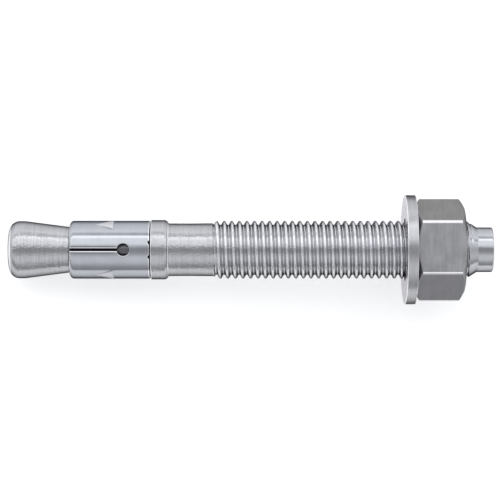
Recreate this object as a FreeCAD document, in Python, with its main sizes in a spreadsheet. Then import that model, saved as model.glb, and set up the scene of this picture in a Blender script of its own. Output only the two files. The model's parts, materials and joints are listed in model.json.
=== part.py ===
import FreeCAD
import Part
import Sketcher

import os

# Wedge anchor for an M16 hole, laid down on its washer's rim and its wedge end.
# Each piece is drawn along its own X axis, with X = 0 at the wedge end, and its
# Placement lays it on the table. Lengths are in millimetres, angles in degrees.

V = FreeCAD.Vector

DRIVING_SIZES = {
    # Bolt, from the wedge end to the threaded tip
    "total_length": 127.65,
    "wedge_radius": 7.575,
    "wedge_end_round": 2.6,
    "wedge_land": 1.5,
    "wedge_angle": 7.45,
    "neck_radius": 5.65,
    "collar_start": 37.45,
    "collar_width": 3.7,
    "collar_radius": 7.865,
    "collar_front_chamfer": 0.15,
    "collar_back_length": 0.6,
    "collar_back_drop": 0.35,
    "collar_rise": 0.895,
    "collar_foot": 0.4,
    "thread_start": 53.9,
    "thread_radius": 7.85,
    "thread_pitch": 2.0,
    "tip_radius": 5.92,
    "tip_length": 4.15,
    "tip_cone_angle": 32.0,
    "tip_chamfer": 0.35,
    # Expansion clip
    "clip_gap": 0.25,
    "clip_length": 21.2,
    "clip_inset": 0.2,
    "clip_front_lip": 0.4,
    "clip_clearance": 0.09,
    "clip_slot_width": 0.72,
    "clip_seam_width": 0.4,
    "clip_hole_diameter": 3.3,
    "clip_hole_setback": 6.8,
    "clip_notch_diameter": 0.8,
    "clip_notch_angle": 14.2,
    "barb_setback": 9.5,
    "barb_length": 4.5,
    "barb_width": 4.3,
    "barb_height": 0.28,
    # Washer
    "washer_radius": 14.45,
    "washer_bore_radius": 8.5,
    "washer_thickness": 2.8,
    "washer_rim_chamfer": 0.25,
    # Hex nut
    "nut_seat": 107.25,
    "nut_seat_gap": 0.03,
    "nut_height": 12.7,
    "nut_across_flats": 23.6,
    "nut_corner_round": 1.2,
    "nut_turn": 3.2,
    "nut_face_radius": 11.5,
    "nut_chamfer_angle": 30.0,
    "nut_thread_clearance": 0.08,
    "nut_countersink": 0.45,
}

doc = FreeCAD.newDocument("wedge_anchor")
sheet = doc.addObject("Spreadsheet::Sheet", "sizes")
for row, (word, number) in enumerate(DRIVING_SIZES.items(), start=1):
    sheet.set(f"A{row}", word)
    sheet.set(f"B{row}", str(number))
    sheet.setAlias(f"B{row}", word)
doc.recompute()


# Places along the bolt, worked out from the driving sizes

WEDGE_LAND_END = "(sizes.wedge_end_round + sizes.wedge_land)"
NECK_START = (
    f"({WEDGE_LAND_END} + (sizes.wedge_radius - sizes.neck_radius) / tan(sizes.wedge_angle))"
)
COLLAR_END = "(sizes.collar_start + sizes.collar_width)"
COLLAR_BACK = f"({COLLAR_END} + sizes.collar_back_length)"
SHANK_RADIUS = "(sizes.collar_radius - sizes.collar_rise)"
THREAD_RUN_IN = "(sizes.thread_start + sizes.thread_pitch / 2)"
TIP_START = "(sizes.total_length - sizes.tip_length)"
THREAD_END = (
    f"({TIP_START} - (sizes.thread_radius - sizes.tip_radius) / tan(sizes.tip_cone_angle))"
)
CLIP_END = "(sizes.collar_start - sizes.clip_gap)"
CLIP_START = f"({CLIP_END} - sizes.clip_length)"
CLIP_RADIUS = "(sizes.collar_radius - sizes.clip_inset)"
CLIP_BORE_RADIUS = "(sizes.neck_radius + sizes.clip_clearance)"
CLIP_MOUTH_RADIUS = f"({CLIP_BORE_RADIUS} + ({NECK_START} - {CLIP_START}) * tan(sizes.wedge_angle))"
CLIP_FRONT_ROUND = f"({CLIP_RADIUS} - {CLIP_MOUTH_RADIUS} - sizes.clip_front_lip)"
CLIP_HOLE = f"({CLIP_END} - sizes.clip_hole_setback)"
BARB_END = f"({CLIP_END} - sizes.barb_setback)"
BARB_START = f"({BARB_END} - sizes.barb_length)"
WASHER_END = "(sizes.nut_seat - sizes.nut_seat_gap)"
WASHER_START = f"({WASHER_END} - sizes.washer_thickness)"
NUT_END = "(sizes.nut_seat + sizes.nut_height)"
NUT_BORE_RADIUS = "(sizes.thread_radius + sizes.nut_thread_clearance)"
NUT_CORNER_RADIUS = "(sizes.nut_across_flats / sqrt(3))"

# How the anchor lies: the table touches the wedge's rounded end and the washer's
# rim, just behind its chamfer, and the tilt is its angle to the bolt's axis

END_CENTRE_RADIUS = "(sizes.wedge_radius - sizes.wedge_end_round)"
RUN = f"({WASHER_START} + sizes.washer_rim_chamfer - sizes.wedge_end_round)"
RISE = f"(sizes.washer_radius - {END_CENTRE_RADIUS})"
TILT = f"(atan({RISE} / {RUN}) - asin(sizes.wedge_end_round / sqrt({RUN}^2 + {RISE}^2)))"
LOWEST_X = (
    f"(sizes.wedge_end_round * cos({TILT}) - {END_CENTRE_RADIUS} * sin({TILT})"
    " - sizes.wedge_end_round)"
)
HIGHEST_X = (
    f"(sizes.total_length * cos({TILT})"
    f" + (sizes.tip_radius - sizes.tip_chamfer) * sin({TILT}))"
)
LIE_X = f"-({LOWEST_X} + {HIGHEST_X}) / 2"
LIE_Z = (
    f"sizes.wedge_end_round + {END_CENTRE_RADIUS} * cos({TILT})"
    f" - sizes.wedge_end_round * sin({TILT})"
)


# Helpers for bodies, sketches and features


def size(expression):
    """The value that an expression has now, as a plain number."""
    found = sheet.evalExpression(expression)
    return float(getattr(found, "Value", found))


def origin_feature(body, role):
    return [f for f in body.Origin.OriginFeatures if f.Role == role][0]


def new_body(name):
    """A body, laid on the table with the others."""
    body = doc.addObject("PartDesign::Body", name)
    body.Label = name
    uphill = FreeCAD.Rotation(V(0, -1, 0), 1)
    body.Placement = FreeCAD.Placement(V(0, 0, 0), uphill)
    body.setExpression("Placement.Rotation.Angle", TILT)
    body.setExpression("Placement.Base.x", LIE_X)
    body.setExpression("Placement.Base.z", LIE_Z)
    return body


def new_sketch(body, name, role, turned=0.0, height="0 mm"):
    """A sketch on an origin plane, turned about the plane's own X axis, then lifted off it."""
    sketch = body.newObject("Sketcher::SketchObject", name)
    sketch.AttachmentSupport = [(origin_feature(body, role), "")]
    sketch.MapMode = "FlatFace"
    leaning = FreeCAD.Rotation(V(1, 0, 0), turned)
    sketch.AttachmentOffset = FreeCAD.Placement(V(0, 0, 0), leaning)
    sketch.setExpression("AttachmentOffset.Base.y", f"-sin({turned}) * {height}")
    sketch.setExpression("AttachmentOffset.Base.z", f"cos({turned}) * {height}")
    return sketch


def pin_point(sketch, element, corner, across, up):
    """Bind one point of a sketch to two expressions, measured from the sketch's origin."""
    for kind, expression, axis in (("DistanceX", across, -2), ("DistanceY", up, -1)):
        if expression == "0":
            sketch.addConstraint(Sketcher.Constraint("PointOnObject", element, corner, axis))
        else:
            datum = Sketcher.Constraint(kind, -1, 1, element, corner, size(expression))
            index = sketch.addConstraint(datum)
            sketch.setExpression(f"Constraints[{index}]", expression)


def draw_outline(sketch, corners):
    """A closed outline through corners, each given as two expressions."""
    places = [V(size(across), size(up), 0) for across, up in corners]
    count = len(corners)
    first = sketch.GeometryCount
    for i in range(count):
        sketch.addGeometry(Part.LineSegment(places[i], places[(i + 1) % count]))
    for i in range(count):
        following = first + (i + 1) % count
        sketch.addConstraint(Sketcher.Constraint("Coincident", first + i, 2, following, 1))
    for i, (across, up) in enumerate(corners):
        pin_point(sketch, first + i, 1, across, up)


def draw_circle(sketch, across, up, diameter):
    middle = V(size(across), size(up), 0)
    circle = sketch.addGeometry(Part.Circle(middle, V(0, 0, 1), size(diameter) / 2))
    pin_point(sketch, circle, 3, across, up)
    datum = Sketcher.Constraint("Diameter", circle, size(diameter))
    index = sketch.addConstraint(datum)
    sketch.setExpression(f"Constraints[{index}]", diameter)


def draw_box(sketch, left, right, half_width):
    draw_outline(
        sketch,
        [
            (left, f"-{half_width}"),
            (right, f"-{half_width}"),
            (right, half_width),
            (left, half_width),
        ],
    )


def turn(body, name, corners, cut=False, turned=0.0):
    """Revolve an outline in the bolt's lengthwise plane about its axis, as a solid or a cut."""
    sketch = new_sketch(body, f"{name}_outline", "XZ_Plane", turned)
    draw_outline(sketch, corners)
    kind = "PartDesign::Groove" if cut else "PartDesign::Revolution"
    feature = body.newObject(kind, name)
    feature.Profile = sketch
    feature.ReferenceAxis = (origin_feature(body, "X_Axis"), [""])
    feature.Angle = 360
    return feature


def extrude(body, name, sketch, length, cut=False):
    """Pad or pocket a sketch along its own normal."""
    kind = "PartDesign::Pocket" if cut else "PartDesign::Pad"
    feature = body.newObject(kind, name)
    feature.Profile = sketch
    feature.Reversed = cut
    feature.setExpression("Length", length)
    return feature


def repeat_around(body, name, feature, count, angle):
    """Copy a feature around the bolt's axis."""
    pattern = body.newObject("PartDesign::PolarPattern", name)
    pattern.Originals = [feature]
    pattern.Axis = (origin_feature(body, "X_Axis"), [""])
    pattern.Angle = angle
    pattern.Occurrences = count
    body.Tip = pattern
    return pattern


def dress_edges(body, name, kind, belongs, amount):
    """Put a fillet or chamfer on every edge for which belongs(edge) holds."""
    doc.recompute()
    last = body.Tip
    edges = last.Shape.Edges
    chosen = [f"Edge{i}" for i, edge in enumerate(edges, start=1) if belongs(edge)]
    if not chosen:
        raise RuntimeError(f"{name} found no edge")
    feature = body.newObject(f"PartDesign::{kind}", name)
    feature.Base = (last, chosen)
    feature.setExpression("Radius" if kind == "Fillet" else "Size", amount)
    return feature


def ring_at(along, radius):
    """Does an edge run round the axis, at this place and radius?"""
    place = size(along)
    reach = size(radius)

    def belongs(edge):
        circle = edge.Curve
        if not isinstance(circle, Part.Circle):
            return False
        centred = abs(circle.Center.y) < 1e-6 and abs(circle.Center.z) < 1e-6
        here = abs(circle.Center.x - place) < 1e-4
        return centred and here and abs(circle.Radius - reach) < 1e-4

    return belongs


# Cone bolt: wedge, neck, collar, shank, thread blank and tip, turned from one bar


def make_cone_bolt():
    body = new_body("cone_bolt")
    turn(
        body,
        "bar",
        [
            ("0", "0"),
            ("0", "sizes.wedge_radius"),
            (WEDGE_LAND_END, "sizes.wedge_radius"),
            (NECK_START, "sizes.neck_radius"),
            ("sizes.collar_start", "sizes.neck_radius"),
            ("sizes.collar_start", "sizes.collar_radius"),
            (COLLAR_END, "sizes.collar_radius"),
            (COLLAR_BACK, "sizes.collar_radius - sizes.collar_back_drop"),
            (COLLAR_BACK, SHANK_RADIUS),
            ("sizes.thread_start", SHANK_RADIUS),
            (THREAD_RUN_IN, "sizes.thread_radius"),
            (THREAD_END, "sizes.thread_radius"),
            (TIP_START, "sizes.tip_radius"),
            ("sizes.total_length", "sizes.tip_radius"),
            ("sizes.total_length", "0"),
        ],
    )
    wedge_end = ring_at("0 mm", "sizes.wedge_radius")
    dress_edges(body, "wedge_end", "Fillet", wedge_end, "sizes.wedge_end_round")
    collar_front = ring_at("sizes.collar_start", "sizes.collar_radius")
    dress_edges(body, "collar_front", "Chamfer", collar_front, "sizes.collar_front_chamfer")
    collar_foot = ring_at(COLLAR_BACK, SHANK_RADIUS)
    dress_edges(body, "collar_foot", "Chamfer", collar_foot, "sizes.collar_foot")
    tip_end = ring_at("sizes.total_length", "sizes.tip_radius")
    dress_edges(body, "tip_end", "Chamfer", tip_end, "sizes.tip_chamfer")
    return body


# Expansion clip: a slotted sleeve round the neck, with three barbs. Its bore
# widens over the bolt's cone, so that pulling the bolt spreads its segments.

SEGMENT_ANGLE = 120.0


def make_expansion_clip():
    body = new_body("expansion_clip")
    turn(
        body,
        "sleeve",
        [
            (CLIP_START, CLIP_MOUTH_RADIUS),
            (CLIP_START, CLIP_RADIUS),
            (CLIP_END, CLIP_RADIUS),
            (CLIP_END, CLIP_BORE_RADIUS),
            (NECK_START, CLIP_BORE_RADIUS),
        ],
    )
    front = ring_at(CLIP_START, CLIP_RADIUS)
    dress_edges(body, "front_edge", "Fillet", front, CLIP_FRONT_ROUND)
    add_barbs(body)
    cut_slots(body)
    cut_notches(body)
    return body


def add_barbs(body):
    """A triangular ramp in the middle of each segment, that rises to a step."""
    floor = f"({CLIP_RADIUS} - sizes.barb_width / 4)"
    top = f"({CLIP_RADIUS} + sizes.barb_height)"
    sketch = new_sketch(body, "barb_plan", "XY_Plane", SEGMENT_ANGLE / 2, floor)
    draw_outline(
        sketch,
        [
            (BARB_START, "0"),
            (BARB_END, "-sizes.barb_width / 2"),
            (BARB_END, "sizes.barb_width / 2"),
        ],
    )
    blank = extrude(body, "barb_blank", sketch, f"{top} - {floor}")
    repeat_around(body, "barb_blanks", blank, 3, 360)
    clear = f"({CLIP_RADIUS} + 2 * sizes.barb_height + sizes.barb_width)"
    turn(
        body,
        "barb_ramps",
        [
            (BARB_START, f"{CLIP_RADIUS} + sizes.barb_height / 20"),
            (BARB_END, top),
            (f"{BARB_END} + sizes.barb_height", top),
            (f"{BARB_END} + sizes.barb_height", clear),
            (BARB_START, clear),
        ],
        cut=True,
    )


def cut_slots(body):
    """Two slots that each end in a round hole, and the seam where the sleeve was rolled shut."""
    sketch = new_sketch(body, "slot_plan", "XY_Plane")
    before_clip = f"({CLIP_START} - sizes.clip_slot_width)"
    draw_box(sketch, before_clip, CLIP_HOLE, "(sizes.clip_slot_width / 2)")
    slot = extrude(body, "slot", sketch, f"{CLIP_RADIUS} * 2", cut=True)
    repeat_around(body, "slots", slot, 2, SEGMENT_ANGLE)

    sketch = new_sketch(body, "hole_plan", "XY_Plane")
    draw_circle(sketch, CLIP_HOLE, "0", "sizes.clip_hole_diameter")
    hole = extrude(body, "hole", sketch, f"{CLIP_RADIUS} * 2", cut=True)
    repeat_around(body, "holes", hole, 2, SEGMENT_ANGLE)

    sketch = new_sketch(body, "seam_plan", "XY_Plane", -SEGMENT_ANGLE)
    after_clip = f"({CLIP_END} + sizes.clip_slot_width)"
    draw_box(sketch, before_clip, after_clip, "(sizes.clip_seam_width / 2)")
    extrude(body, "seam", sketch, f"{CLIP_RADIUS} * 2", cut=True)


def cut_notches(body):
    """Two small round notches in the clip's rear edge, either side of the first slot's line."""
    sketch = new_sketch(body, "notch_plan", "XY_Plane")
    offset = f"{CLIP_RADIUS} * sin(sizes.clip_notch_angle)"
    draw_circle(sketch, CLIP_END, offset, "sizes.clip_notch_diameter")
    draw_circle(sketch, CLIP_END, f"-{offset}", "sizes.clip_notch_diameter")
    extrude(body, "notches", sketch, f"{CLIP_RADIUS} * 2", cut=True)


# Washer: a flat ring, chamfered on its rim towards the wedge. It is loose on the
# bolt, and lies turned about it by this small angle.

WASHER_TURN = -0.5


def make_washer():
    body = new_body("washer")
    turn(
        body,
        "ring",
        [
            (WASHER_START, "sizes.washer_bore_radius"),
            (WASHER_START, "sizes.washer_radius"),
            (WASHER_END, "sizes.washer_radius"),
            (WASHER_END, "sizes.washer_bore_radius"),
        ],
        turned=WASHER_TURN,
    )
    rim =ring_at(WASHER_START, "sizes.washer_radius")
    dress_edges(body, "rim", "Chamfer", rim, "sizes.washer_rim_chamfer")
    return body


# Hex nut: chamfered at both ends, with a plain bore that clears the thread blank


def make_hex_nut():
    body = new_body("hex_nut")
    sketch = new_sketch(body, "hexagon", "YZ_Plane", height="sizes.nut_seat")
    turns = [f"({angle} - sizes.nut_turn)" for angle in range(0, 360, 60)]
    corner = NUT_CORNER_RADIUS
    draw_outline(sketch, [(f"{corner} * cos{turn}", f"{corner} * sin{turn}") for turn in turns])
    extrude(body, "blank", sketch, "sizes.nut_height")

    def is_corner(edge):
        return isinstance(edge.Curve, Part.Line) and abs(edge.Curve.Direction.x) > 0.999

    dress_edges(body, "corners", "Fillet", is_corner, "sizes.nut_corner_round")
    chamfer_nut(body, "seat_chamfer", "sizes.nut_seat", "-")
    chamfer_nut(body, "top_chamfer", NUT_END, "+")
    turn(
        body,
        "bore",
        [
            ("sizes.nut_seat", "0"),
            ("sizes.nut_seat", f"{NUT_BORE_RADIUS} + sizes.nut_countersink"),
            ("sizes.nut_seat + sizes.nut_countersink", NUT_BORE_RADIUS),
            (f"{NUT_END} - sizes.nut_countersink", NUT_BORE_RADIUS),
            (NUT_END, f"{NUT_BORE_RADIUS} + sizes.nut_countersink"),
            (NUT_END, "0"),
        ],
        cut=True,
    )
    return body


def chamfer_nut(body, name, face, outward):
    """Take the six corners off one end, along a cone."""
    inward = "-" if outward == "+" else "+"
    spare = "(sizes.nut_height / 10)"
    rise = f"({NUT_CORNER_RADIUS} - sizes.nut_face_radius + {spare})"
    clear = f"(sizes.nut_face_radius + {rise})"
    before = f"{face} {outward} {spare} * tan(sizes.nut_chamfer_angle)"
    beyond = f"{face} {inward} {rise} * tan(sizes.nut_chamfer_angle)"
    corners = [(before, f"sizes.nut_face_radius - {spare}"), (beyond, clear), (before, clear)]
    turn(body, name, corners, cut=True)


bodies = [make_cone_bolt(), make_expansion_clip(), make_washer(), make_hex_nut()]
doc.recompute()

CUTS = ("PartDesign::Pocket", "PartDesign::Groove")

for item in doc.Objects:
    if "Invalid" in item.State or "Error" in item.State:
        raise RuntimeError(f"{item.Label} failed: {item.State}")
    if item.TypeId in CUTS and item.Shape.Volume >= item.BaseFeature.Shape.Volume:
        raise RuntimeError(f"{item.Label} cuts nothing")
for body in bodies:
    if body.Shape.isNull() or not body.Shape.isValid():
        raise RuntimeError(f"{body.Label} has no valid shape")

os.makedirs("parts", exist_ok=True)
for body in bodies:
    body.Shape.exportStep(f"parts/{body.Label}.step")
    print(body.Label, round(body.Shape.Volume, 2), "mm3")
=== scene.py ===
import json
import math

import bmesh
import bpy
import numpy as np
from mathutils import Matrix, Vector


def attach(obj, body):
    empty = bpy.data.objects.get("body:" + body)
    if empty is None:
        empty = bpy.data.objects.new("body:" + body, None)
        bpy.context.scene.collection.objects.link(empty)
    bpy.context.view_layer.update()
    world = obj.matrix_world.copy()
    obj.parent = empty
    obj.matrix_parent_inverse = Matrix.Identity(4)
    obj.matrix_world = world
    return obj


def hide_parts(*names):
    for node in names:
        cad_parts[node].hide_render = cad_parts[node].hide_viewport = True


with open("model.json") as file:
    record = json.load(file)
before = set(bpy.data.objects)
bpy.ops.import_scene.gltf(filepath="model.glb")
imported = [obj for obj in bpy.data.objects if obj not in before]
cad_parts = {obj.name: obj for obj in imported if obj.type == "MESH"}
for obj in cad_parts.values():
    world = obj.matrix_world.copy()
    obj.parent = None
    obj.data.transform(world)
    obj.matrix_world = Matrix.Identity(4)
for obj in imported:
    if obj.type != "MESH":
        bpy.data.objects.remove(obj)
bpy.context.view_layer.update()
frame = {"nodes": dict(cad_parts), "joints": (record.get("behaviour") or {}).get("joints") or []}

# A wedge anchor lying on a pale floor, seen from straight above its tilted axis.
# Shapes are made in millimetres in the bolt's own space: "along" runs from the wedge
# end to the tip, y is sideways and up is square to the axis, towards the camera.

# Where the bolt lies

MM = 0.001
SPIN = next(j for j in frame["joints"] if j["name"] == "clip_spin")
AXIS = Vector(SPIN["axis"]).normalized()
SIDE = Vector((0, 1, 0))
UP = AXIS.cross(SIDE)
ON_AXIS = Vector(SPIN["pos_m"])


def reach_of(node):
    """Where a CAD node starts and ends along the bolt's axis, in metres from ON_AXIS."""
    places = [(v.co - ON_AXIS).dot(AXIS) for v in frame["nodes"][node].data.vertices]
    return min(places), max(places)


BOLT_START = reach_of("cone_bolt")[0]
WEDGE_END = ON_AXIS + AXIS * BOLT_START
TO_FRAME = Matrix.Translation(WEDGE_END) @ Matrix((AXIS, SIDE, UP)).transposed().to_4x4()
TO_FRAME = TO_FRAME @ Matrix.Scale(MM, 4)
FROM_FRAME = TO_FRAME.inverted()


def span_of(node):
    """Where a CAD node starts and ends along the bolt, in millimetres from the wedge end."""
    return [(place - BOLT_START) / MM for place in reach_of(node)]


LENGTH = span_of("cone_bolt")[1]
CLIP_START, CLIP_END = span_of("expansion_clip")
WASHER_START, WASHER_END = span_of("washer")
NUT_START, NUT_END = span_of("hex_nut")

# Sizes of the real anchor, in millimetres

WEDGE_RADIUS = 7.575
WEDGE_ROUND = 2.6
CONE_START = 4.1
CONE_ANGLE = math.radians(7.45)
NECK_RADIUS = 5.65
NECK_START = CONE_START + (WEDGE_RADIUS - NECK_RADIUS) / math.tan(CONE_ANGLE)
COLLAR_START = 37.45
COLLAR_END = 41.15
COLLAR_RADIUS = 7.865
CHAMFER_END = COLLAR_END + 0.6
CHAMFER_RADIUS = COLLAR_RADIUS - 0.32
STEP_RADIUS = 7.3
SHANK_RADIUS = 6.97
SHANK_WAIST = SHANK_RADIUS - 0.03
SHANK_END_RADIUS = SHANK_RADIUS + 0.03
THREAD_START = 53.9
CREST_RADIUS = 7.64
ROOT_RADIUS = 6.6
LAST_ROOT_RADIUS = 6.87
PITCH = 2.0
CREST_AT = 54.75
TIP_RADIUS = 5.92
TIP_START = LENGTH - 4.15
TIP_SLOPE = math.tan(math.radians(32))
THREAD_END = TIP_START - (CREST_RADIUS - TIP_RADIUS) / TIP_SLOPE
GROOVE_OPENS = (THREAD_START - 0.3, THREAD_START + 0.3)
CREST_RISES = (THREAD_START, THREAD_START + 0.9)
GROOVE_RUNS_OUT = (THREAD_END - 1.3, THREAD_END - 0.1)

CLIP_RADIUS = 7.665
CLIP_BORE = 5.74
SLOT_WIDTH = 0.72
SEAM_WIDTH = 0.4
HOLE_RADIUS = 1.65
HOLE_AT = CLIP_END - 6.8
NOTCH_RADIUS = 0.4
NOTCH_TURN = 14.2
BARB_END = CLIP_END - 9.5
BARB_START = BARB_END - 4.5
BARB_WIDTH = 4.3
BARB_POINT = 0.12
BARB_HEIGHT = 0.28
BARB_LEAST_HEIGHT = 0.02
BARB_EDGE = 0.05
BARB_SUNK = 0.35
BARB_TURNS = (150, 30, 270)
FRONT_ROUND = 1.156
FRONT_LIP = 0.4
EDGE_ROUND = 0.05
EDGE_DROP = 0.1
EDGE_WIDTH = 0.26

WASHER_RADIUS = 14.45
WASHER_BORE = 8.5

NUT_FLATS = 23.6
NUT_CORNER_ROUND = 1.2
NUT_TURN = math.radians(3.2)
NUT_FACE_RADIUS = 11.5
NUT_CHAMFER = math.tan(math.radians(30))
NUT_MOUTH = 8.38
NUT_GROOVE = 8.0
NUT_CREST = 6.92


# Meshes

# A row of the thread that comes this near an end ring, in millimetres, is joined to it.
TOO_CLOSE = 0.03


class Skin:
    """Points and faces of a closed surface round the bolt's axis, built ring by ring."""

    def __init__(self, turns):
        self.turns = turns
        self.points = []
        self.faces = []

    def point(self, along, radius, turn):
        """turn runs from +y towards the camera, in radians."""
        self.points.append((along, radius * math.cos(turn), radius * math.sin(turn)))
        return len(self.points) - 1

    def ring(self, along, radius):
        """along and radius are numbers, or functions of the turn."""
        at = along if callable(along) else lambda turn: along
        reach = radius if callable(radius) else lambda turn: radius
        return [self.point(at(t), reach(t), t) for t in self.turns]

    def face(self, corners):
        """A face whose corners may fall together. It is left out if fewer than three remain."""
        kept = [c for i, c in enumerate(corners) if c != corners[i - 1]]
        if len(set(kept)) >= 3:
            self.faces.append(kept)

    def band(self, first, second):
        """Faces between two rings."""
        for i in range(len(first)):
            j = (i + 1) % len(first)
            self.face([first[i], first[j], second[j], second[i]])

    def bands(self, rings):
        """Faces between each ring and the next."""
        for first, second in zip(rings, rings[1:]):
            self.band(first, second)

    def cap(self, ring, along):
        """Close a ring with faces that meet on the axis."""
        pole = self.point(along, 0.0, 0.0)
        for i in range(len(ring)):
            self.face([ring[i], ring[(i + 1) % len(ring)], pole])

    def screw(self, first, second, start, end, phases, reach):
        """A band from one ring to another, in rows that follow the thread's helix.

        phases are the rows' places within a pitch, and reach gives a point's radius.
        """
        per_pitch = len(phases)
        count = len(self.turns)
        back = math.ceil((CREST_AT - start) / PITCH) + 2
        pitches = math.ceil((end - start) / PITCH) + 4
        base = CREST_AT - back * PITCH
        places = [base + (n + p) * PITCH for n in range(pitches) for p in phases]
        ids = np.empty((len(places), count), int)
        for row, place in enumerate(places):
            for column, turn in enumerate(self.turns):
                along = place + PITCH * turn / (2 * math.pi)
                if along < start + TOO_CLOSE:
                    ids[row, column] = first[column]
                elif along > end - TOO_CLOSE:
                    ids[row, column] = second[column]
                else:
                    phase = phases[row % per_pitch]
                    ids[row, column] = self.point(along, reach(along, phase), turn)
        for row in range(len(places) - 1):
            for column in range(count):
                low, high = ids[row, column], ids[row + 1, column]
                if column + 1 < count:
                    next_low, next_high = ids[row, column + 1], ids[row + 1, column + 1]
                elif row + 1 + per_pitch < len(places):
                    next_low = ids[row + per_pitch, 0]
                    next_high = ids[row + 1 + per_pitch, 0]
                else:
                    next_low = next_high = second[0]
                self.face([low, next_low, next_high, high])


def even_turns(count):
    return [2 * math.pi * i / count for i in range(count)]


def soften(corners, steps=4):
    """Round the corners of an outline. Each is (along, radius, rounding)."""
    line = []
    for i, (x, y, rounding) in enumerate(corners):
        here = Vector((x, y))
        if rounding <= 0 or i in (0, len(corners) - 1):
            line.append((x, y))
            continue
        before = (Vector(corners[i - 1][:2]) - here).normalized()
        after = (Vector(corners[i + 1][:2]) - here).normalized()
        half = before.angle(after) / 2
        start = here + before * rounding / math.tan(half)
        end = here + after * rounding / math.tan(half)
        middle = here + (before + after).normalized() * rounding / math.sin(half)
        for step in range(steps + 1):
            arm = (start - middle).lerp(end - middle, step / steps).normalized()
            line.append(tuple(middle + arm * rounding))
    return line


def add_piece(name, points, faces, body, node, steels, sharp=35):
    """A smooth-shaded mesh that rides on a body in place of a CAD node.

    points are in the bolt's space, and steels are the materials, the main one first.
    Edges that turn by more than sharp, in degrees, aren't shaded smooth.
    """
    mesh = bpy.data.meshes.new(name)
    mesh.from_pydata(points, [], faces)
    for material in steels:
        mesh.materials.append(material)
    shape = bmesh.new()
    shape.from_mesh(mesh)
    bmesh.ops.recalc_face_normals(shape, faces=shape.faces)
    for face in shape.faces:
        face.smooth = True
    shape.to_mesh(mesh)
    shape.free()
    mesh.transform(TO_FRAME)
    mesh.set_sharp_from_angle(angle=math.radians(sharp))
    piece = bpy.data.objects.new(name, mesh)
    bpy.context.scene.collection.objects.link(piece)
    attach(piece, body)
    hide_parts(node)
    return piece


def paint(piece, material, chosen):
    """Give the faces that chosen(middle, normal) picks another material of the piece.

    A face's middle is in millimetres in the bolt's space. Its normal's x is 0 on a face
    that runs along the bolt, and 1 or -1 on one that is square to it.
    """
    place = piece.data.materials.find(material)
    turn = FROM_FRAME.to_3x3().normalized()
    for polygon in piece.data.polygons:
        if chosen(FROM_FRAME @ polygon.center, turn @ polygon.normal):
            polygon.material_index = place


def off_axis(middle):
    """How far a face's middle is from the bolt's axis."""
    return math.hypot(middle.y, middle.z)


def both_flanks(half):
    """Phases over a whole pitch from those between a crest and the next groove's middle."""
    return half + [1 - phase for phase in reversed(half) if 0 < phase < 0.5]


# Bolt

THREAD_PROFILE = [
    (0.0, CREST_RADIUS),
    (0.05, CREST_RADIUS - 0.01),
    (0.1, CREST_RADIUS - 0.04),
    (0.145, CREST_RADIUS - 0.11),
    (0.185, CREST_RADIUS - 0.23),
    (0.39, 6.7),
    (0.44, 6.615),
    (0.5, ROOT_RADIUS),
]
BOLT_PHASES = both_flanks([phase for phase, radius in THREAD_PROFILE])


def profile_radius(phase, profile):
    """A thread's radius at a phase of its pitch, where 0 and 1 are the profile's start."""
    distance = min(phase % 1, 1 - phase % 1)
    return np.interp(distance, *zip(*profile))


def thread_radius(along, phase):
    """The thread rises out of the shank at its start and gets shallower at the tip's cone."""
    opening = np.interp(along, GROOVE_OPENS, (SHANK_END_RADIUS, ROOT_RADIUS))
    closing = np.interp(along, GROOVE_RUNS_OUT, (ROOT_RADIUS, LAST_ROOT_RADIUS))
    root = max(opening, closing)
    crest = np.interp(along, CREST_RISES, (SHANK_END_RADIUS, CREST_RADIUS))
    cone = CREST_RADIUS - (along - THREAD_END) * TIP_SLOPE
    return float(min(max(profile_radius(phase, THREAD_PROFILE), root), crest, cone))


def make_bolt():
    skin = Skin(even_turns(96))
    body = soften(
        [
            (0.0, 0.0, 0),
            (0.0, WEDGE_RADIUS, WEDGE_ROUND),
            (CONE_START, WEDGE_RADIUS, 0.6),
            (NECK_START, NECK_RADIUS, 1.0),
            (COLLAR_START, NECK_RADIUS, 0.1),
            (COLLAR_START, COLLAR_RADIUS, 0.25),
            (COLLAR_END, COLLAR_RADIUS, 0.2),
            (CHAMFER_END, CHAMFER_RADIUS, 0.08),
            (CHAMFER_END + 0.1, STEP_RADIUS, 0.05),
            (CHAMFER_END + 0.25, SHANK_RADIUS, 0.6),
            (THREAD_START - 6.0, SHANK_WAIST, 2.0),
            (THREAD_START - 1.5, SHANK_END_RADIUS, 0.5),
            (THREAD_START - 0.2, SHANK_END_RADIUS, 0),
        ],
        steps=6,
    )
    rings = [skin.ring(along, radius) for along, radius in body[1:]]
    skin.cap(rings[0], 0.0)
    skin.bands(rings)
    tip = soften(
        [
            (TIP_START - 0.25, TIP_RADIUS + 0.25 * TIP_SLOPE, 0),
            (TIP_START, TIP_RADIUS, 0.25),
            (LENGTH, TIP_RADIUS, 0.45),
            (LENGTH, 0.5, 0),
        ]
    )
    tip_rings = [skin.ring(along, radius) for along, radius in tip]
    start, end = body[-1][0], tip[0][0]
    skin.screw(rings[-1], tip_rings[0], start, end, BOLT_PHASES, thread_radius)
    skin.bands(tip_rings)
    skin.cap(tip_rings[-1], LENGTH)
    piece = add_piece(
        "turned_bolt", skin.points, skin.faces, "bolt", "cone_bolt", bolt_steels()
    )
    paint(piece, "bolt_tip", lambda middle, normal: middle.x > THREAD_END)
    paint(piece, "thread_crest_highlight", is_crest)
    paint(piece, "thread_grooves", is_groove)
    paint(piece, "bolt_edge_highlight", is_bolt_edge)
    paint(piece, "bolt_ends", is_bolt_end)
    return piece


CREST_DEPTH = 0.16

# A tilt is the part of a face's normal that lies along the bolt, from 0 to 1.

WEDGE_RIM_TILT = 0.7
COLLAR_FRONT_TILT = 0.25
THREAD_FRONT_TILT = 0.3
EDGE_TILT = 0.55
STEEPEST_EDGE_TILT = 0.9
END_TILT = 0.995


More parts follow.
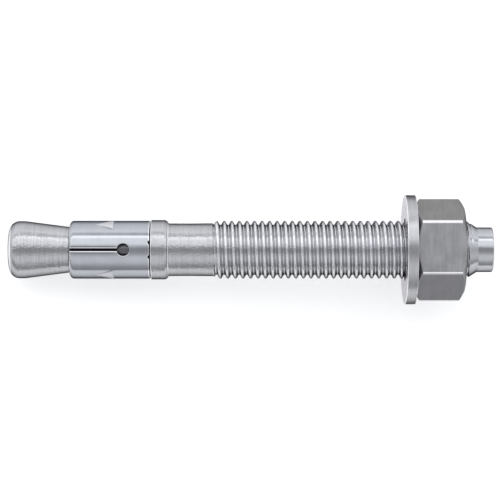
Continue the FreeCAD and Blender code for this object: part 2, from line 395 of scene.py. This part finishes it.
def is_thread(middle):
    return THREAD_START < middle.x < THREAD_END


def is_crest(middle, normal):
    return is_thread(middle) and off_axis(middle) > CREST_RADIUS - CREST_DEPTH


def is_groove(middle, normal):
    return is_thread(middle) and off_axis(middle) < CREST_RADIUS - CREST_DEPTH


def is_bolt_edge(middle, normal):
    """The rims of the wedge and the tip, both edges of the collar, the thread's start: painted
    light as a painted highlight.
    """
    if middle.x < CONE_START:
        return WEDGE_RIM_TILT < -normal.x < STEEPEST_EDGE_TILT
    if abs(middle.x - COLLAR_START) < 0.3:
        return -normal.x > COLLAR_FRONT_TILT
    if THREAD_START - 0.2 < middle.x < THREAD_START + 1.0:
        return -normal.x > THREAD_FRONT_TILT
    if THREAD_START < middle.x < LENGTH - 0.6:
        return False
    return EDGE_TILT < abs(normal.x) < STEEPEST_EDGE_TILT


def is_bolt_end(middle, normal):
    return abs(normal.x) > END_TILT and not 1 < middle.x < LENGTH - 1


# Washer

WASHER_FACE_TILT = 0.9
WASHER_EDGE_TILT = 0.2


def is_washer_face(middle, normal):
    return abs(normal.x) > WASHER_FACE_TILT


def is_washer_edge(middle, normal):
    return WASHER_EDGE_TILT < abs(normal.x) < WASHER_FACE_TILT


def make_washer():
    skin = Skin(even_turns(180))
    outline = soften(
        [
            (WASHER_START, (WASHER_BORE + WASHER_RADIUS) / 2, 0),
            (WASHER_START, WASHER_RADIUS, 0.25),
            (WASHER_END, WASHER_RADIUS, 0.12),
            (WASHER_END, WASHER_BORE, 0.15),
            (WASHER_START, WASHER_BORE, 0.3),
            (WASHER_START, (WASHER_BORE + WASHER_RADIUS) / 2, 0),
        ]
    )
    rings = [skin.ring(along, radius) for along, radius in outline[:-1]]
    skin.bands(rings + rings[:1])
    piece = add_piece(
        "flat_washer",
        skin.points,
        skin.faces,
        "washer",
        "washer",
        washer_steels(),
    )
    # Painted highlight: the end faces and their edges are painted lighter than the washer's rim.
    paint(piece, "washer_face_highlight", is_washer_face)
    paint(piece, "washer_edge_highlight", is_washer_edge)
    return piece


# Nut

NUT_PROFILE = [
    (0.0, NUT_GROOVE),
    (0.05, NUT_GROOVE - 0.01),
    (0.08, NUT_GROOVE - 0.06),
    (0.36, NUT_CREST + 0.04),
    (0.39, NUT_CREST),
    (0.5, NUT_CREST),
]
NUT_PHASES = both_flanks([phase for phase, radius in NUT_PROFILE[:-1]])

SIXTH = math.pi / 3
ROUND_MIDDLE = (NUT_FLATS / 2 - NUT_CORNER_ROUND) / math.cos(SIXTH / 2)
ROUND_END = math.atan2(
    NUT_CORNER_ROUND * math.sin(SIXTH / 2),
    ROUND_MIDDLE + NUT_CORNER_ROUND * math.cos(SIXTH / 2),
)


def nut_turns():
    """Close together at the rounded corners, which lie 60 degrees apart."""
    near = [ROUND_END * share for share in (0, 0.25, 0.5, 0.75, 1)]
    near += [math.radians(angle) for angle in (3.5, 5, 7, 10, 14, 18, 22, 26, 30)]
    sector = near + [SIXTH - angle for angle in reversed(near[1:-1])]
    return [SIXTH * n + angle - NUT_TURN for n in range(6) for angle in sector]


def hexagon(turn):
    """The nut's radius before its ends are chamfered."""
    from_corner = abs((turn + NUT_TURN + SIXTH / 2) % SIXTH - SIXTH / 2)
    if from_corner > ROUND_END:
        return NUT_FLATS / 2 / math.cos(SIXTH / 2 - from_corner)
    across = ROUND_MIDDLE * math.sin(from_corner)
    return ROUND_MIDDLE * math.cos(from_corner) + math.sqrt(NUT_CORNER_ROUND**2 - across**2)


def nut_thread_radius(along, phase):
    """The nut's thread, cut back by the countersinks in both faces."""
    depth = min(along - NUT_START, NUT_END - along)
    return float(max(profile_radius(phase, NUT_PROFILE), NUT_MOUTH - depth))


def make_nut():
    skin = Skin(nut_turns())

    def chamfer(turn):
        return (hexagon(turn) - NUT_FACE_RADIUS) * NUT_CHAMFER

    def end_rings(face, inward):
        """From the bore's mouth over the end face and chamfer to the flats."""

        def on_cone(share, back):
            def radius(turn):
                return NUT_FACE_RADIUS + share * (hexagon(turn) - NUT_FACE_RADIUS) - back

            def along(turn):
                return face + inward * (radius(turn) - NUT_FACE_RADIUS) * NUT_CHAMFER

            return skin.ring(along, radius)

        rings = [skin.ring(face, NUT_MOUTH), skin.ring(face, NUT_MOUTH + 0.15)]
        rings += [skin.ring(face, NUT_FACE_RADIUS - 0.12), on_cone(0, 0), on_cone(0.5, 0)]
        rings.append(on_cone(1, 0.06))
        for down, back in ((0.0, 0.02), (0.08, 0.0)):
            rings.append(
                skin.ring(
                    lambda t, d=down: face + inward * (chamfer(t) + d),
                    lambda t, b=back: hexagon(t) - b,
                )
            )
        return rings

    seat = end_rings(NUT_START, 1)
    top = end_rings(NUT_END, -1)
    middle = []
    for share in (0.15, 0.3, 0.5, 0.7, 0.85):
        middle.append(skin.ring(NUT_START + share * (NUT_END - NUT_START), hexagon))
    skin.bands(seat + middle + top[::-1])
    skin.screw(seat[0], top[0], NUT_START, NUT_END, NUT_PHASES, nut_thread_radius)
    piece = add_piece(
        "threaded_nut", skin.points, skin.faces, "nut", "hex_nut", nut_steels()
    )
    # Painted highlight: the rounded corners are painted light.
    paint(piece, "nut_corner_highlight", is_nut_corner)
    # Painted shade: the flats on either side of the camera's one are painted darker, the one
    # towards -y most.
    paint(piece, "nut_flat_deep_shade", lambda middle, normal: is_nut_flat(middle, normal, -1))
    paint(piece, "nut_flat_shade", lambda middle, normal: is_nut_flat(middle, normal, 1))
    return piece


# Degrees from the way that a flat faces: a corner's rounding leans further than
# CORNER_LEAN, and the flat itself less than FLAT_LEAN.

CORNER_LEAN = 17
FLAT_LEAN = 2
NUT_SIDE_TILT = 0.1


def lean_from_top_flat(normal):
    """Degrees from the flat that faces the camera, towards +y."""
    return math.degrees(math.atan2(normal.y, normal.z) - NUT_TURN)


def is_nut_side(middle, normal):
    return off_axis(middle) > NUT_FLATS / 2 and abs(normal.x) < NUT_SIDE_TILT


def is_nut_corner(middle, normal):
    from_flat = (lean_from_top_flat(normal) + 30) % 60 - 30
    return is_nut_side(middle, normal) and abs(from_flat) > CORNER_LEAN


def is_nut_flat(middle, normal, number):
    """Is it the flat that lies this number of sixths of a turn from the camera's, towards +y? Those
    flats are painted darker, as painted shade.
    """
    from_flat = lean_from_top_flat(normal) - 60 * number
    return is_nut_side(middle, normal) and abs(from_flat) < FLAT_LEAN


# Expansion clip

# It is drawn flat, as it is stamped, and then rolled round the neck.


def bore_radius(along):
    """The bore runs parallel to the bolt's cone at the clip's front."""
    return CLIP_BORE + max(0.0, NECK_START - along) * math.tan(CONE_ANGLE)


# The rows of faces round a hole get wider away from its rim.
ROW_GROWTH = 1.4


class Blank:
    """The faces of the clip's flat blank, each a list of (along, around) corners."""

    def __init__(self):
        self.faces = []

    def grid(self, across, length, is_open):
        """Cells between two sets of lines, apart from those where is_open holds."""
        for left, right in zip(across, across[1:]):
            for low, high in zip(length, length[1:]):
                if not is_open((low + high) / 2, (left + right) / 2):
                    self.faces.append([(low, left), (high, left), (high, right), (low, right)])

    def ruffle(self, rim, border, rows):
        """Fill the space between a round rim and the border of the cells round it."""
        rings = []
        for row in range(rows + 1):
            share = (row / rows) ** ROW_GROWTH
            rings.append([Vector(a).lerp(Vector(b), share) for a, b in zip(rim, border)])
        for near, far in zip(rings, rings[1:]):
            for i in range(len(near) - 1):
                self.faces.append([near[i], near[i + 1], far[i + 1], far[i]])


# The blank is a grid of cells. A square of them round each hole or notch is left open,
# NOTCH_CELLS or HOLE_CELLS to each side of its middle, and filled by rings of faces.

THIRD = 2 * math.pi * CLIP_RADIUS / 3
NOTCH_AT = CLIP_RADIUS * math.radians(NOTCH_TURN)
NOTCH_CELLS = 0.8
HOLE_CELLS = NOTCH_AT + NOTCH_CELLS
HALF_SLOT = SLOT_WIDTH / 2
CELL_AROUND = 0.5
CELL_ALONG = 0.8
FRONT_CELLS = (0, 0.03, 0.1, 0.22, 0.4, 0.6, 0.85)


def both_sides(distances):
    return sorted({side * distance for distance in distances for side in (-1, 1)})


def tidy(lines):
    return sorted({round(line, 5) for line in lines})


def lines_between(start, end, spacing):
    count = max(1, round((end - start) / spacing))
    return [start + (end - start) * i / count for i in range(count + 1)]


def lines_near_hole():
    """The grid's lines through the square of cells round a hole, from the hole's middle."""
    notch_lines = [NOTCH_AT + NOTCH_CELLS * share for share in (-1, -0.5, 0, 0.5, 1)]
    return both_sides([0.0, HALF_SLOT] + notch_lines)


def blank_lines():
    """The grid's lines: round the blank from the first slot's middle, and along the bolt."""
    near = lines_near_hole()
    across = lines_between(-THIRD + SEAM_WIDTH / 2, -HOLE_CELLS, CELL_AROUND)
    across += near
    across += lines_between(HOLE_CELLS, THIRD - HOLE_CELLS, CELL_AROUND)
    across += [THIRD + line for line in near]
    across += lines_between(THIRD + HOLE_CELLS, 2 * THIRD - SEAM_WIDTH / 2, CELL_AROUND)
    length = [CLIP_START + step for step in FRONT_CELLS]
    length += lines_between(CLIP_START + FRONT_ROUND, HOLE_AT - HOLE_CELLS, CELL_ALONG)
    length += [HOLE_AT + line for line in near]
    length += lines_between(HOLE_AT + HOLE_CELLS, CLIP_END - NOTCH_CELLS, CELL_ALONG)
    length += [CLIP_END - NOTCH_CELLS / 2, CLIP_END]
    return tidy(across), tidy(length)


def is_open(along, around):
    """Slots, and the cells round holes and notches, which are filled by ruffles."""
    for middle in (0.0, THIRD):
        aside = abs(around - middle)
        if along < HOLE_AT and aside < HALF_SLOT:
            return True
        if abs(along - HOLE_AT) < HOLE_CELLS and aside < HOLE_CELLS:
            return True
    beside_notch = abs(abs(around) - NOTCH_AT) < NOTCH_CELLS
    return along > CLIP_END - NOTCH_CELLS and beside_notch


# Lengths in millimetres and angles in radians that differ by less are the same.
TINY = 1e-4


def square_border(start, end, lines):
    """Points round a square of these lines, from one angle to another."""
    reach = max(lines)
    border = {(side * reach, line) for line in lines for side in (-1, 1)}
    border |= {(line, side * reach) for line in lines for side in (-1, 1)}
    turned = sorted((math.atan2(around, along), along, around) for along, around in border)
    return [place[1:] for place in turned if start - TINY <= place[0] <= end + TINY]


def add_hole(blank, middle):
    """The round hole at the end of a slot."""
    lines = lines_near_hole()
    mouth = math.pi - math.atan2(HALF_SLOT, HOLE_CELLS)
    opening = math.pi - math.asin(HALF_SLOT / HOLE_RADIUS)
    border = square_border(-mouth, mouth, lines)
    rim = []
    for along, around in border:
        angle = math.atan2(around, along) * opening / mouth
        rim.append((HOLE_RADIUS * math.cos(angle), HOLE_RADIUS * math.sin(angle)))
    here = [(HOLE_AT + along, middle + around) for along, around in border]
    rim = [(HOLE_AT + along, middle + around) for along, around in rim]
    blank.ruffle(rim, here, rows=4)


def add_notch(blank, middle):
    """A round notch in the rear edge."""
    lines = both_sides([0.0, NOTCH_CELLS / 2, NOTCH_CELLS])
    border = square_border(-math.pi / 2, math.pi / 2, lines)
    rim, here = [], []
    for inward, around in border:
        angle = math.atan2(around, inward)
        across = middle + NOTCH_RADIUS * math.sin(angle)
        rim.append((CLIP_END - NOTCH_RADIUS * math.cos(angle), across))
        here.append((CLIP_END - inward, middle + around))
    blank.ruffle(rim, here, rows=2)


def make_blank():
    """The flat blank as a mesh one millimetre thick."""
    blank = Blank()
    across, length = blank_lines()
    blank.grid(across, length, is_open)
    for middle in (0.0, THIRD):
        add_hole(blank, middle)
    for middle in (-NOTCH_AT, NOTCH_AT):
        add_notch(blank, middle)
    sheet = bmesh.new()
    for face in blank.faces:
        sheet.faces.new([sheet.verts.new((along, around, 1.0)) for along, around in face])
    bmesh.ops.remove_doubles(sheet, verts=sheet.verts[:], dist=TINY)
    grown = bmesh.ops.extrude_face_region(sheet, geom=sheet.faces[:])
    for element in grown["geom"]:
        if isinstance(element, bmesh.types.BMVert):
            element.co.z = 0.0
    bmesh.ops.recalc_face_normals(sheet, faces=sheet.faces)
    return sheet


def is_rim(edge):
    """Is it an edge of the blank's upper or lower face?"""
    if len(edge.link_faces) != 2 or abs(edge.verts[0].co.z - edge.verts[1].co.z) > TINY:
        return False
    one, two = (face.normal for face in edge.link_faces)
    return one.angle(two, 0) > math.radians(60)


def roll(along, around, height):
    """Where a point of the blank comes to when it is rolled round the neck."""
    outer, inner = CLIP_RADIUS, bore_radius(along)
    into = FRONT_ROUND - (along - CLIP_START)
    if into > 0:
        outer -= FRONT_ROUND - math.sqrt(max(0.0, FRONT_ROUND**2 - into**2))
    radius = inner + height * (max(outer, inner + FRONT_LIP) - inner)
    turn = math.pi / 2 + around / CLIP_RADIUS
    return along, radius * math.cos(turn), radius * math.sin(turn)


# Marks the blank's faces along its edges, in place of a material's number. They take a lighter
# material, a painted highlight.
STRIP = 1


def roll_edges_over(sheet, wall):
    """The outer face dips a little along its edges, as stamping leaves it."""
    outer = [face for face in sheet.faces if face.calc_center_median().z > wall - TINY]
    strip = bmesh.ops.inset_region(
        sheet, faces=outer, thickness=EDGE_WIDTH, use_boundary=True, use_even_offset=False
    )["faces"]
    kept = {vert for face in outer for vert in face.verts}
    for face in strip:
        # The strip's faces get the clip's painted highlight.
        face.material_index = STRIP
    for vert in {vert for face in strip for vert in face.verts} - kept:
        vert.co.z -= EDGE_DROP


def clip_mesh():
    """Points and faces of the rolled clip, and the numbers of the faces along its edges."""
    sheet = make_blank()
    wall = CLIP_RADIUS - CLIP_BORE
    for vert in sheet.verts:
        vert.co.z *= wall
    rim = [edge for edge in sheet.edges if is_rim(edge)]
    bmesh.ops.bevel(
        sheet,
        geom=rim,
        offset=EDGE_ROUND,
        offset_type="OFFSET",
        segments=2,
        profile=0.5,
        affect="EDGES",
        clamp_overlap=True,
        material=STRIP,
    )
    roll_edges_over(sheet, wall)
    points = [roll(vert.co.x, vert.co.y, vert.co.z / wall) for vert in sheet.verts]
    sheet.verts.index_update()
    faces = [[v.index for v in face.verts] for face in sheet.faces]
    edges = {i for i, face in enumerate(sheet.faces) if face.material_index == STRIP}
    sheet.free()
    return points, faces, edges


def barb_mesh(turn):
    """A triangular ramp that rises to a step, sunk a little into the clip's wall."""
    rows = 12
    columns = 8
    sunk = CLIP_RADIUS - BARB_SUNK
    points, faces = [], []

    def put(along, share, radius):
        reached = along - BARB_START + BARB_POINT
        half = BARB_WIDTH / 2 * reached / (BARB_END - BARB_START + BARB_POINT)
        across = share * half
        angle = turn + across / CLIP_RADIUS
        points.append((along, radius * math.cos(angle), radius * math.sin(angle)))
        return len(points) - 1

    def top_radius(along):
        climb = (along - BARB_START) / (BARB_END - BARB_START)
        return CLIP_RADIUS + BARB_LEAST_HEIGHT + climb * (BARB_HEIGHT - BARB_LEAST_HEIGHT)

    grid = []
    for row in range(rows + 1):
        along = BARB_START + (BARB_END - BARB_START) * row / rows
        step_back = BARB_EDGE if row == rows else 0.0
        radius = top_radius(along) - step_back
        line = [put(along, -1, sunk), put(along, -1, radius - BARB_EDGE)]
        for column in range(1, columns):
            line.append(put(along, -1 + 2 * column / columns, radius))
        line += [put(along, 1, radius - BARB_EDGE), put(along, 1, sunk)]
        grid.append(line)
    for first, second in zip(grid, grid[1:]):
        for i in range(len(first) - 1):
            faces.append([first[i], first[i + 1], second[i + 1], second[i]])
        faces.append([first[-1], first[0], second[0], second[-1]])
    faces.append(grid[0][::-1])
    faces.append(grid[-1])
    return points, faces


def make_expansion_clip():
    points, faces, edges = clip_mesh()
    barbs = []
    for turn in BARB_TURNS:
        more, sides = barb_mesh(math.radians(turn))
        barbs += range(len(faces), len(faces) + len(sides))
        faces += [[i + len(points) for i in side] for side in sides]
        points += more
    piece = add_piece(
        "slotted_clip",
        points,
        faces,
        "clip",
        "expansion_clip",
        clip_steels(),
        sharp=40,
    )
    for material, numbers in (("clip_edge_highlight", edges), ("barb_steel", barbs)):
        place = piece.data.materials.find(material)
        for number in numbers:
            piece.data.polygons[number].material_index = place
    paint(piece, "clip_edge_highlight", is_clip_front)
    return piece


CLIP_FRONT_TILT = 0.6


def is_clip_front(middle, normal):
    return -normal.x > CLIP_FRONT_TILT and middle.x < CLIP_START + 1


# Steel


def add_node(tree, kind, inputs=(), **settings):
    """inputs are values or sockets, by the input's name or number."""
    node = tree.nodes.new(kind)
    for key, value in settings.items():
        setattr(node, key, value)
    for socket, value in dict(inputs).items():
        if isinstance(value, bpy.types.NodeSocket):
            tree.links.new(value, node.inputs[socket])
        else:
            node.inputs[socket].default_value = value
    return node


def calculate(tree, operation, *values, **settings):
    """A sum on one, two or three values or sockets."""
    node = add_node(
        tree, "ShaderNodeMath", enumerate(values), operation=operation, **settings
    )
    return node.outputs["Value"]


def new_material(name):
    """A material with an empty tree, and what its surface is linked to."""
    material = bpy.data.materials.new(name)
    material.use_nodes = True
    material.node_tree.nodes.clear()
    output = add_node(material.node_tree, "ShaderNodeOutputMaterial")
    return material, output.inputs["Surface"]


# DARK_EDGES is how bright most of the steel is where it is seen almost along its surface.
# BUMP is how high a mark of strength 1 stands, in millimetres.

DARK_EDGES = 0.05
BUMP = 0.02


def steel(
    name, tint, rough, rings=0.0, streaks=0.0, grain=0.0, waves=0.0, grazing=DARK_EDGES, painted_shade=()
):
    """Bright steel with fine marks, and its roughness and bump from the same noises.

    rings are marks that run round the bolt, and streaks is how far they darken it.
    grain is a fine pitting and waves an unevenness over several millimetres.
    grazing is how bright the steel is where it is seen almost along its surface.
    The last argument lists stretches along the bolt, (start, end, colour), painted darker as
    painted shade.
    """
    material, surface = new_material(name)
    tree = material.node_tree
    edge_tint = (grazing, grazing, grazing, 1.0)
    shader = add_node(
        tree, "ShaderNodeBsdfPrincipled", {"Metallic": 1.0, "Specular Tint": edge_tint}
    )
    tree.links.new(shader.outputs["BSDF"], surface)
    place = add_node(tree, "ShaderNodeTexCoord")
    own = add_node(
        tree,
        "ShaderNodeMapping",
        {
            "Vector": place.outputs["Object"],
            "Location": FROM_FRAME.to_translation(),
            "Rotation": FROM_FRAME.to_euler(),
            "Scale": (1 / MM, 1 / MM, 1 / MM),
        },
    ).outputs["Vector"]

    def noise(scale):
        stretched = add_node(
            tree, "ShaderNodeMapping", {"Vector": own, "Scale": scale}
        ).outputs["Vector"]
        return add_node(
            tree,
            "ShaderNodeTexNoise",
            {"Vector": stretched, "Scale": 1.0, "Detail": 2.0, "Roughness": 0.6},
        ).outputs["Fac"]

    def spread(value, low, high):
        """The noise's middle range, stretched to run from low to high."""
        return add_node(
            tree,
            "ShaderNodeMapRange",
            {"Value": value, "From Min": 0.35, "From Max": 0.65, "To Min": low, "To Max": high},
        ).outputs["Result"]

    round_marks = noise((2.8, 0.14, 0.14))
    pits = noise((1.3, 1.7, 1.7))
    clouds = noise((0.25, 0.25, 0.25))
    height = calculate(tree, "MULTIPLY", round_marks, rings)
    height = calculate(tree, "MULTIPLY_ADD", pits, grain, height)
    height = calculate(tree, "MULTIPLY_ADD", clouds, waves, height)
    bump = add_node(
        tree, "ShaderNodeBump", {"Height": height, "Strength": 1.0, "Distance": BUMP * MM}
    )
    tree.links.new(bump.outputs["Normal"], shader.inputs["Normal"])
    tree.links.new(spread(clouds, rough * 0.85, rough * 1.15), shader.inputs["Roughness"])
    shade = calculate(
        tree, "MULTIPLY", spread(round_marks, 1 - streaks, 1.0), spread(clouds, 0.94, 1.0)
    )
    colour = add_node(
        tree, "ShaderNodeVectorMath", {0: tint, "Scale": shade}, operation="SCALE"
    ).outputs["Vector"]
    along = add_node(tree, "ShaderNodeSeparateXYZ", {"Vector": own}).outputs["X"]
    # Painted shade: the listed stretches take a darker colour.
    for start, end, shade_colour in painted_shade:
        inside = calculate(
            tree,
            "MULTIPLY",
            calculate(tree, "GREATER_THAN", along, start),
            calculate(tree, "LESS_THAN", along, end),
        )
        colour = add_node(
            tree,
            "ShaderNodeMix",
            {"Factor": inside, "A": colour, "B": shade_colour},
            data_type="RGBA",
        ).outputs["Result"]
    tree.links.new(colour, shader.inputs["Base Color"])
    return material


# Painted shade: the bolt is painted nearly black under the clip, and less dark where the round
# holes show it.

DEEP_SHADE_UNDER_CLIP = (0.02, 0.02, 0.022, 1.0)
HOLE_SHADE = (0.19, 0.19, 0.2, 1.0)
SHADE_UNDER_CLIP = [
    (CLIP_START + 0.3, COLLAR_START - 0.02, DEEP_SHADE_UNDER_CLIP),
    (HOLE_AT - HOLE_RADIUS, HOLE_AT + HOLE_RADIUS, HOLE_SHADE),
]


def bolt_steels():
    turned = {"rings": 0.5, "streaks": 0.12, "grain": 3.0, "waves": 2.0}
    edge_marks = {"rings": 0.3, "streaks": 0.05, "grain": 1.0, "grazing": 0.3}
    tip_marks = {"rings": 0.3, "streaks": 0.05, "grain": 0.3, "waves": 3.0}
    end_marks = {"streaks": 0.1, "grain": 2.0, "waves": 2.0, "grazing": 0.8}
    return [
        steel("bolt_steel", (0.48, 0.485, 0.5), 0.18, painted_shade=SHADE_UNDER_CLIP, **turned),
        # Painted highlight: the edges are painted near white.
        steel("bolt_edge_highlight", (0.93, 0.93, 0.95), 0.2, **edge_marks),
        steel("bolt_tip", (0.47, 0.48, 0.5), 0.14, **tip_marks),
        # Painted highlight: the crests are painted lighter than the grooves.
        steel("thread_crest_highlight", (0.68, 0.69, 0.71), 0.2, streaks=0.05, grain=3.0),
        steel("thread_grooves", (0.62, 0.62, 0.64), 0.2, streaks=0.1, grain=3.0),
        steel("bolt_ends", (0.5, 0.5, 0.52), 0.3, **end_marks),
    ]


def clip_steels():
    rolled = {"streaks": 0.03, "grain": 0.15, "waves": 1.0}
    matt = {"rings": 0.3, "streaks": 0.05, "grain": 0.5}
    return [
        steel("clip_steel", (0.44, 0.455, 0.485), 0.15, **rolled),
        # Painted highlight: the clip's edges and front are painted lighter.
        steel("clip_edge_highlight", (0.75, 0.75, 0.77), 0.12, grazing=0.3),
        steel("barb_steel", (0.66, 0.66, 0.69), 0.4, **matt),
    ]


def washer_steels():
    punched = {"rings": 0.4, "streaks": 0.12, "grain": 0.5, "waves": 2.0}
    return [
        steel("washer_steel", (0.48, 0.48, 0.49), 0.28, **punched),
        # Painted highlight: lighter faces and near-white edges.
        steel("washer_face_highlight", (0.7, 0.69, 0.73), 0.25, grazing=0.75),
        steel("washer_edge_highlight", (0.95, 0.95, 0.96), 0.15, grazing=0.8),
    ]


def nut_steels():
    brushed = {"rings": 0.5, "grain": 0.8, "waves": 2.0}
    return [
        steel("nut_steel", (0.43, 0.43, 0.435), 0.36, streaks=0.14, **brushed),
        # Painted highlight on the corners.
        steel("nut_corner_highlight", (0.85, 0.85, 0.86), 0.14),
        # Painted shade on two flats of the nut.
        steel("nut_flat_deep_shade", (0.25, 0.25, 0.26), 0.4, streaks=0.1, **brushed),
        steel("nut_flat_shade", (0.36, 0.355, 0.35), 0.4, streaks=0.12, **brushed),
    ]


# The four pieces

make_bolt()
make_expansion_clip()
make_washer()
make_nut()

# Floor

# A plain sheet that keeps the shadow. What the camera and the metal see of it is lifted
# towards white by WHITENING. HALF_FLOOR is in metres.

HALF_FLOOR = 3.0
WHITENING = 0.42


def paper():
    """The floor's material: matt, with a glow for camera, glossy and transmission rays."""
    material, surface = new_material("paper")
    tree = material.node_tree
    matt = add_node(tree, "ShaderNodeBsdfDiffuse", {"Color": (0.8, 0.8, 0.8, 1.0)})
    rays = add_node(tree, "ShaderNodeLightPath").outputs
    seen = calculate(tree, "ADD", rays["Is Camera Ray"], rays["Is Glossy Ray"])
    seen = calculate(tree, "ADD", seen, rays["Is Transmission Ray"], use_clamp=True)
    strength = calculate(tree, "MULTIPLY", seen, WHITENING)
    glow = add_node(tree, "ShaderNodeEmission", {"Strength": strength})
    both = add_node(
        tree, "ShaderNodeAddShader", {0: matt.outputs["BSDF"], 1: glow.outputs["Emission"]}
    )
    tree.links.new(both.outputs["Shader"], surface)
    return material


def make_floor():
    sheet = bpy.data.meshes.new("floor")
    corners = [(x * HALF_FLOOR, y * HALF_FLOOR, 0) for x, y in ((-1, -1), (1, -1), (1, 1), (-1, 1))]
    sheet.from_pydata(corners, [], [(0, 1, 2, 3)])
    sheet.materials.append(paper())
    floor = bpy.data.objects.new("floor", sheet)
    bpy.context.scene.collection.objects.link(floor)


make_floor()

# Soft studio light

# A pale room has bands of light that run along the bolt. Each is (degrees from straight
# up, towards +y; brightness) and blends into the next.

LIGHT_BANDS = [
    (-90, 0.42),
    (-72, 0.56),
    (-57, 0.92),
    (-46, 1.08),
    (-30, 1.08),
    (-20, 0.77),
    (-8, 0.5),
    (8, 0.5),
    (15, 1.05),
    (24, 1.54),
    (47, 1.6),
    (50, 2.35),
    (56, 2.35),
    (60, 0.84),
    (67, 0.77),
    (75, 1.4),
    (90, 1.4),
]
BRIGHTEST = max(brightness for angle, brightness in LIGHT_BANDS)
LIGHT_TINT = (0.96, 0.97, 1.0)

# Beyond both ends of the bolt the bands fade into an even pale grey. FADE is where that
# starts and ends: 0 is a way square to the bolt and 1 is one along it.

PALE_LIGHT = 0.9
FADE = (0.8, 0.96)


def light_colour(brightness):
    """The colour that gives this brightness where the room's strength is BRIGHTEST."""
    return tuple(brightness / BRIGHTEST * channel for channel in LIGHT_TINT) + (1.0,)


def light_bands(tree, way):
    """The bands' light by the angle at which a way leans from straight up."""
    lean = calculate(tree, "ARCTAN2", way["Y"], way["Z"])
    share = add_node(
        tree,
        "ShaderNodeMapRange",
        {"Value": lean, "From Min": -math.pi / 2, "From Max": math.pi / 2},
    )
    bands = add_node(tree, "ShaderNodeValToRGB", {"Fac": share.outputs["Result"]})
    ramp = bands.color_ramp
    while len(ramp.elements) < len(LIGHT_BANDS):
        ramp.elements.new(1.0)
    for element, (angle, brightness) in zip(ramp.elements, LIGHT_BANDS):
        element.position = (angle + 90) / 180
        element.color = light_colour(brightness)
    return bands.outputs["Color"]


def make_room():
    room = bpy.data.worlds.new("room")
    bpy.context.scene.world = room
    room.use_nodes = True
    tree = room.node_tree
    place = add_node(tree, "ShaderNodeTexCoord")
    way = add_node(tree, "ShaderNodeSeparateXYZ", {"Vector": place.outputs["Generated"]}).outputs
    fade = add_node(
        tree,
        "ShaderNodeMapRange",
        {
            "Value": calculate(tree, "ABSOLUTE", way["X"]),
            "From Min": FADE[0],
            "From Max": FADE[1],
        },
        interpolation_type="SMOOTHSTEP",
    )
    light = add_node(
        tree,
        "ShaderNodeMix",
        {
            "Factor": fade.outputs["Result"],
            "A": light_bands(tree, way),
            "B": light_colour(PALE_LIGHT),
        },
        data_type="RGBA",
    )
    background = tree.nodes["Background"]
    tree.links.new(light.outputs["Result"], background.inputs["Color"])
    background.inputs["Strength"].default_value = BRIGHTEST


make_room()

# Camera

# It looks down on the bolt, square to its tilted axis. CAMERA_ALONG and CAMERA_SIDE are the
# place it looks at in the bolt's space.

CAMERA_ALONG = 63.576
CAMERA_SIDE = -0.074
CAMERA_DISTANCE = 543.0
FIELD_OF_VIEW = math.radians(13.9)
SENSOR_WIDTH = 36.0


def make_camera():
    view = bpy.data.cameras.new("camera")
    view.sensor_width = SENSOR_WIDTH
    view.lens = SENSOR_WIDTH / 2 / math.tan(FIELD_OF_VIEW / 2)
    view.clip_start = 0.01
    view.clip_end = 20.0
    camera = bpy.data.objects.new("camera", view)
    bpy.context.scene.collection.objects.link(camera)
    target = TO_FRAME @ Vector((CAMERA_ALONG, CAMERA_SIDE, 0))
    camera.location = target + UP * CAMERA_DISTANCE * MM
    camera.rotation_euler = Matrix((AXIS, SIDE, UP)).transposed().to_euler()
    bpy.context.scene.camera = camera


make_camera()
bpy.context.scene.view_settings.view_transform = "Standard"
